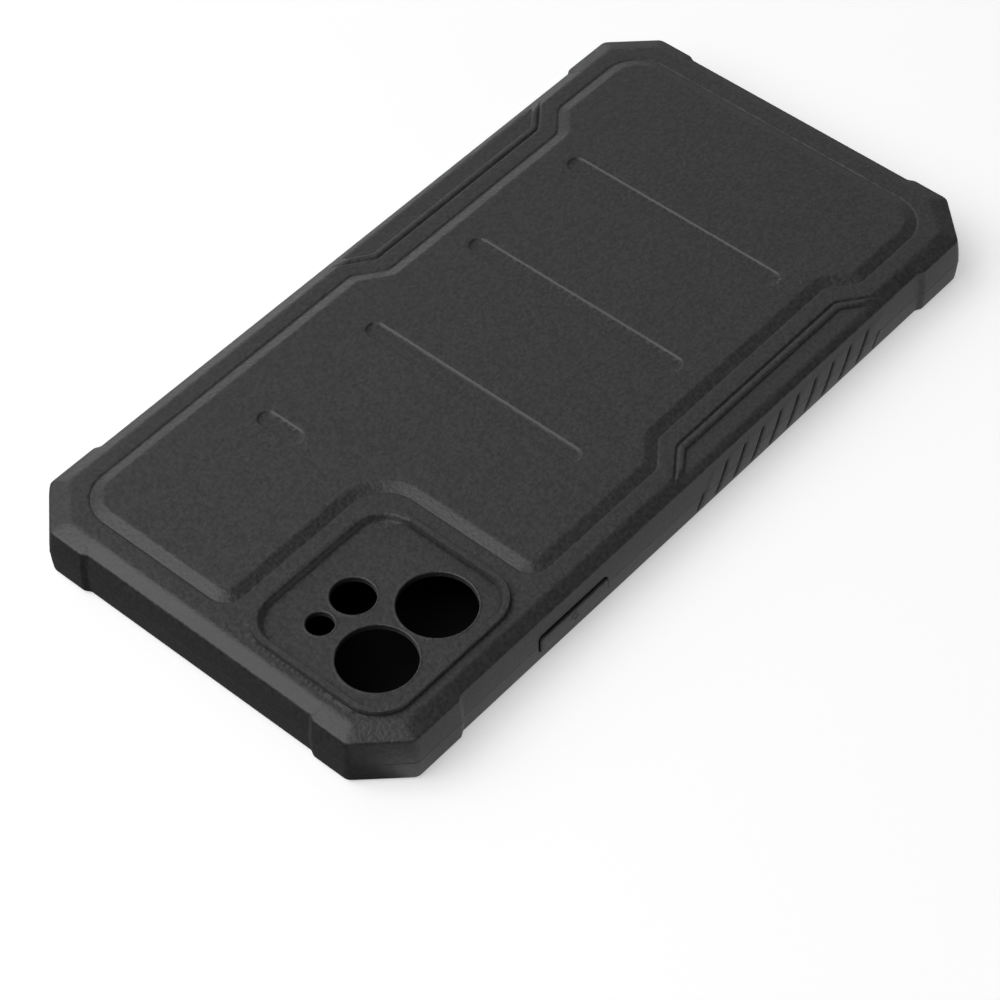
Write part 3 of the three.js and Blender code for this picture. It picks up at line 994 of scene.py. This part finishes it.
def mark_outlines(button):
    """Generic marks: a ring with a bar for power, a plus and a minus for the volume."""
    y, z = button.y, button.z
    if button.mark == "power":
        ring = [circle(y, z - RING_DROP, RING_OUTER, 36), circle(y, z - RING_DROP, RING_INNER, 28)]
        rise, *bar = POWER_BAR
        return ring, [rounded(rectangle(y, z + rise, *bar), 0, MARK_STEP)]
    bars = [rounded(rectangle(y, z, SIGN_LENGTH, SIGN_WIDTH, SIGN_RADIUS), 0, MARK_STEP)]
    if button.mark == "plus":
        bars.append(rounded(rectangle(y, z, SIGN_WIDTH, SIGN_LENGTH, SIGN_RADIUS), 0, MARK_STEP))
    return [], bars


def mark_height(button, p):
    ring, bars = mark_outlines(button)
    height = np.zeros(len(p))
    if ring:
        band = np.minimum(signed_distance(p, ring[0]), -signed_distance(p, ring[1]))
        height = profiled(band, MARK_PROFILE)
    for bar in bars:
        height = np.maximum(height, profiled(signed_distance(p, bar), MARK_PROFILE))
    return height * MARK_RAISE


def button_cover(button):
    """A pad with rounded edges and a mark on its face, on a stem that reaches the phone's own button."""
    skin = Skin()
    place = place_side(button.side, 0)
    pad = rounded(button.pad(), 0, BUTTON_STEP)

    def face(p):
        edge = profiled(signed_distance(p, pad), PAD_EDGE_PROFILE)
        fall = FACE_FALL * ((p[:, 1] - button.z) / FACE_FALL_AT) ** 2
        return -button.face_x + edge + fall - mark_height(button, p)

    front = Sheet(pad)
    for stop in PAD_LINES:
        front.crease(rounded(button.pad(), stop, BUTTON_STEP))
    ring, bars = mark_outlines(button)
    for outline in ring + bars:
        front.crease(outline)
    middle = np.array([button.y, button.z])
    front.scatter(MARK_DOTS, middle - MARK_FIELD, middle + MARK_FIELD)
    front.scatter(FACE_DOTS)
    front.build(skin, lambda p: place(p, face(p)))
    skin.tube(place(pad, face(pad)), place(pad, -button.back_x), 3)
    stem = rounded(button.stem(), 0, BUTTON_STEP)
    behind = Sheet(pad)
    behind.hole(stem)
    behind.build(skin, lambda p: place(p, -button.back_x))
    skin.tube(place(stem, -button.back_x), place(stem, -button.tip_x - STEM_CHAMFER), 3)

    def tip(p):
        rise = np.clip(signed_distance(p, stem) / STEM_CHAMFER, 0, 1) * STEM_CHAMFER
        return -button.tip_x - STEM_CHAMFER + rise

    cap = Sheet(stem)
    cap.crease(rounded(button.stem(), STEM_CHAMFER, BUTTON_STEP))
    cap.build(skin, lambda p: place(p, tip(p)))
    return skin.object(button.node + "_moulding")


# --- material ---

NOISE_RANGE = (0.3, 0.7)


class Nodes:
    """Short ways to add and join the shader nodes of a material or of the world."""

    def __init__(self, owner, shader="Principled BSDF"):
        owner.use_nodes = True
        self.owner = owner
        self.tree = owner.node_tree
        self.shader = self.tree.nodes[shader]

    def add(self, kind, links=None, **settings):
        node = self.tree.nodes.new(kind)
        for key, value in settings.items():
            setattr(node, key, value)
        for socket, source in (links or {}).items():
            self.put(node.inputs[socket], source)
        return node

    def put(self, socket, source):
        if isinstance(source, bpy.types.NodeSocket):
            self.tree.links.new(source, socket)
        else:
            socket.default_value = source

    def noise(self, place, size_mm, detail=2.0, roughness=0.5):
        """Noise whose features are about size_mm across."""
        links = {"Vector": place, "Scale": 1 / (size_mm * MM), "Detail": detail, "Roughness": roughness}
        return self.add("ShaderNodeTexNoise", links).outputs["Fac"]

    def spread(self, value, low, high, to_low, to_high):
        links = {0: value, 1: low, 2: high, 3: to_low, 4: to_high}
        return self.add("ShaderNodeMapRange", links).outputs[0]

    def vary(self, noise, least, most):
        """A value between least and most that follows a noise."""
        return self.spread(noise, *NOISE_RANGE, least, most)

    def choose(self, share, first, second):
        """first where share is 0, second where it is 1."""
        return self.add("ShaderNodeMix", {0: share, 2: first, 3: second}).outputs[0]

    def maths(self, operation, *values):
        return self.add("ShaderNodeMath", dict(enumerate(values)), operation=operation).outputs[0]


def soft_plastic(name, tone, roughness, grain):
    """Matte charcoal plastic: a fine spark-eroded grain, faint cloudiness, convex edges lighter (a painted
    highlight as well as rubbed wear), and creases and recesses darker and duller (painted shade).
    """
    nodes = Nodes(bpy.data.materials.new(name))
    place = nodes.add("ShaderNodeTexCoord").outputs["Object"]
    fine = nodes.noise(place, size_mm=0.2, detail=2, roughness=0.6)
    grains = nodes.noise(place, size_mm=0.7, detail=1, roughness=0.5)
    clouds = nodes.noise(place, size_mm=9, detail=3, roughness=0.55)
    smears = nodes.noise(place, size_mm=26, detail=2, roughness=0.5)
    # Convex edges, in patches: their colour is lightened, a painted highlight as well as rubbed wear, and
    # they are made a little smoother.
    pointed = nodes.add("ShaderNodeNewGeometry").outputs["Pointiness"]
    edge_wear_and_highlight = nodes.maths(
        "MULTIPLY", nodes.spread(pointed, 0.54, 0.64, 0, 1), nodes.spread(clouds, 0.35, 0.65, 0.3, 1))
    # Ambient occlusion: creases and recesses get darker colour and weaker reflections and sheen, a painted
    # shade.
    shelter = nodes.add("ShaderNodeAmbientOcclusion", {"Distance": 1.0 * MM}, samples=16).outputs["AO"]
    painted_crease_shade = nodes.spread(shelter, 0.35, 0.86, 0.08, 1)
    shade = nodes.vary(grains, 0.75, 1.25)
    for noise, least, most in ((fine, 0.88, 1.12), (clouds, 0.95, 1.05)):
        shade = nodes.maths("MULTIPLY", shade, nodes.vary(noise, least, most))
    # Lighter on convex edges: painted highlight as well as wear.
    shade = nodes.maths("MULTIPLY", shade, nodes.spread(edge_wear_and_highlight, 0, 1, 1, 1.35))
    # Darker in creases and recesses: painted shade.
    shade = nodes.maths("MULTIPLY", shade, painted_crease_shade)
    value = nodes.maths("MULTIPLY", shade, tone)
    blue = nodes.maths("MULTIPLY", value, 0.985)
    colour = nodes.add("ShaderNodeCombineColor", {"Red": value, "Green": value, "Blue": blue})
    nodes.put(nodes.shader.inputs["Base Color"], colour.outputs[0])
    rough = nodes.maths("ADD", nodes.vary(smears, -0.03, 0.03), nodes.vary(grains, -0.05, 0.05))
    rough = nodes.maths("ADD", rough, nodes.spread(edge_wear_and_highlight, 0, 1, roughness, roughness - 0.1))
    nodes.put(nodes.shader.inputs["Roughness"], rough)
    nodes.put(nodes.shader.inputs["IOR"], 1.48)
    # Weaker reflections in creases and recesses: painted shade.
    gleam = nodes.maths("MULTIPLY", painted_crease_shade, nodes.vary(grains, 0.51, 0.62))
    nodes.put(nodes.shader.inputs["Specular IOR Level"], gleam)
    # Less sheen in creases and recesses: painted shade.
    nodes.put(nodes.shader.inputs["Sheen Weight"], nodes.maths("MULTIPLY", painted_crease_shade, 0.06))
    nodes.put(nodes.shader.inputs["Sheen Roughness"], 0.6)
    relief = nodes.maths("ADD", grains, nodes.maths("MULTIPLY", fine, 0.2))
    bump = nodes.add("ShaderNodeBump", {"Strength": 0.9, "Distance": grain * MM, "Height": relief})
    nodes.put(nodes.shader.inputs["Normal"], bump.outputs[0])
    return nodes.owner


def dressed(thing, material):
    """Gives the piece its material and smooth shading that stays crisp at its sharp edges."""
    thing.data.materials.clear()
    thing.data.materials.append(material)
    for polygon in thing.data.polygons:
        polygon.use_smooth = True
    thing.data.set_sharp_from_angle(angle=SHARP_ANGLE)
    smooth = thing.modifiers.new("even_normals", "WEIGHTED_NORMAL")
    smooth.keep_sharp = True
    smooth.weight = CORNER_WEIGHT
    return thing


# --- the object ---

case_plastic = soft_plastic("case_plastic", tone=0.0205, roughness=0.47, grain=0.1)
shell = dressed(case_shell(), case_plastic)
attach(shell, "shell")
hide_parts("case_shell")

cover_plastic = soft_plastic("button_plastic", tone=0.02, roughness=0.45, grain=0.09)
for button in BUTTONS:
    cover = dressed(button_cover(button), cover_plastic)
    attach(cover, button.body)
    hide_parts(button.node)


# --- floor, light and camera ---

FLOOR_REACH = 3.0
FLOOR_BELOW = 0.0002
FLOOR_TONE = 0.62
FLOOR_GLOW = 0.5
# In millimetres: the glowing strip of floor beside the +X wall, a painted light that only the object sees,
# and how far in under the case the floor goes dark, a painted shadow.
LIT_STRIP = 6
LIT_GLOW = 0.4
UNDER_SHADOW_FADE = 4
# The room is brightest towards this side. Its fade is (facing from, facing to, least, most).
BRIGHT_SIDE = (-0.97, -0.2, 0.1)
ROOM_FADE = (-0.2, 0.42, 0.03, 0.5)
BACKGROUND_STRENGTH = 0.97
CAMERA_LENS = 114.8
CAMERA_SENSOR = 36
CAMERA_PLACE = (0.23612, -0.27487, 0.39697)
CAMERA_RIGHT = (0.7568, 0.6536, -0.0056)
CAMERA_UP = (-0.4942, 0.5779, 0.6495)


def floor():
    """A pale floor to the camera. To the object it is a dark card: pale only past the +X side, a painted pool
    of bounce light for that wall, and dimmer beyond the -Y end, painted shade.

    A strip next to the +X wall also glows, a painted light for the object only. Under the case the floor is
    dark to the camera too, a painted shadow, so that the camera holes look deep.
    """
    mesh = bpy.data.meshes.new("floor")
    ends = ((-1, -1), (1, -1), (1, 1), (-1, 1))
    mesh.from_pydata([(x * FLOOR_REACH, y * FLOOR_REACH, -FLOOR_BELOW) for x, y in ends], [], [(0, 1, 2, 3)])
    thing = bpy.data.objects.new("floor", mesh)
    bpy.context.scene.collection.objects.link(thing)
    nodes = Nodes(bpy.data.materials.new("floor"))
    nodes.put(nodes.shader.inputs["Roughness"], 0.9)
    nodes.put(nodes.shader.inputs["Specular IOR Level"], 0.1)
    seen = nodes.add("ShaderNodeLightPath").outputs["Is Camera Ray"]
    place = nodes.add("ShaderNodeTexCoord").outputs["Object"]
    x, y, _ = nodes.add("ShaderNodeSeparateXYZ", {"Vector": place}).outputs
    beyond = nodes.maths("MAXIMUM", *[
        nodes.maths("SUBTRACT", nodes.maths("ABSOLUTE", along), half * MM)
        for along, half in ((x, CAVITY_HALF_X), (y, CAVITY_HALF_Y))])
    # Under the case the camera sees the dark card instead of the pale floor: a painted shadow.
    seen = nodes.maths("MULTIPLY", seen, nodes.spread(beyond, -UNDER_SHADOW_FADE * MM, 0, 0, 1))
    # What the object sees: pale past the +X side, a painted pool of bounce light, and dimmer beyond the -Y
    # end, painted shade.
    unseen = nodes.spread(x, 0.93 * HALF_X * MM, HALF_X * MM, 0.08, 0.85)
    unseen = nodes.maths("MULTIPLY", unseen, nodes.spread(y, -1.1 * HALF_Y * MM, -0.95 * HALF_Y * MM, 0.2, 1))
    # Under the case the card is nearly black: a painted shadow.
    card = nodes.maths("MULTIPLY", unseen, nodes.spread(beyond, -UNDER_SHADOW_FADE * MM, 0, 0.03, 1))
    tone = nodes.choose(seen, card, FLOOR_TONE)
    grey = nodes.add("ShaderNodeCombineColor", {"Red": tone, "Green": tone, "Blue": tone})
    nodes.put(nodes.shader.inputs["Base Color"], grey.outputs[0])
    nodes.put(nodes.shader.inputs["Emission Color"], (1, 1, 1, 1))
    # A glowing strip beside the +X wall, seen only by the object: a painted light.
    glow_strip = nodes.spread(x, HALF_X * MM, (HALF_X + LIT_STRIP) * MM, LIT_GLOW, 0)
    glow_strip = nodes.maths("MULTIPLY", glow_strip, nodes.spread(x, 0.97 * HALF_X * MM, HALF_X * MM, 0, 1))
    nodes.put(nodes.shader.inputs["Emission Strength"], nodes.choose(seen, glow_strip, FLOOR_GLOW))
    thing.data.materials.append(nodes.owner)


def area_light(name, place, size, power):
    """A rectangular lamp that points at the origin."""
    lamp = bpy.data.lights.new(name, "AREA")
    lamp.shape = "RECTANGLE"
    lamp.size, lamp.size_y = size
    lamp.energy = power
    thing = bpy.data.objects.new(name, lamp)
    bpy.context.scene.collection.objects.link(thing)
    turn = (-Vector(place)).to_track_quat("-Z", "Y").to_matrix().to_4x4()
    thing.matrix_world = Matrix.Translation(place) @ turn


def studio():
    """A big soft lamp, a low one on each side, and a room that is bright towards -X.

    The camera itself sees an even pale background instead of that room.
    """
    nodes = Nodes(bpy.data.worlds.new("studio"), "Background")
    towards = nodes.add("ShaderNodeTexCoord").outputs["Generated"]
    facing = nodes.add("ShaderNodeVectorMath", {0: towards, 1: BRIGHT_SIDE}, operation="DOT_PRODUCT")
    strength = nodes.spread(facing.outputs["Value"], *ROOM_FADE)
    seen = nodes.add("ShaderNodeLightPath").outputs["Is Camera Ray"]
    nodes.put(nodes.shader.inputs["Strength"], nodes.choose(seen, strength, BACKGROUND_STRENGTH))
    nodes.put(nodes.shader.inputs["Color"], (1, 1, 1, 1))
    bpy.context.scene.world = nodes.owner
    area_light("high_left", place=(-0.34, -0.5, 0.8), size=(1.0, 1.0), power=8.8)
    area_light("low_left", place=(-0.95, 0.5, 0.07), size=(0.5, 0.16), power=1.0)
    area_light("low_right", place=(0.98, 0.2, 0.08), size=(0.6, 0.15), power=1.3)
    bpy.context.scene.view_settings.view_transform = "Standard"


def camera():
    lens = bpy.data.cameras.new("camera")
    lens.lens = CAMERA_LENS
    lens.sensor_width = CAMERA_SENSOR
    lens.clip_start = 0.01
    thing = bpy.data.objects.new("camera", lens)
    right, up = Vector(CAMERA_RIGHT), Vector(CAMERA_UP)
    turn = Matrix((right, up, right.cross(up))).transposed().to_4x4()
    thing.matrix_world = Matrix.Translation(CAMERA_PLACE) @ turn
    bpy.context.scene.collection.objects.link(thing)
    bpy.context.scene.camera = thing


floor()
studio()
camera()
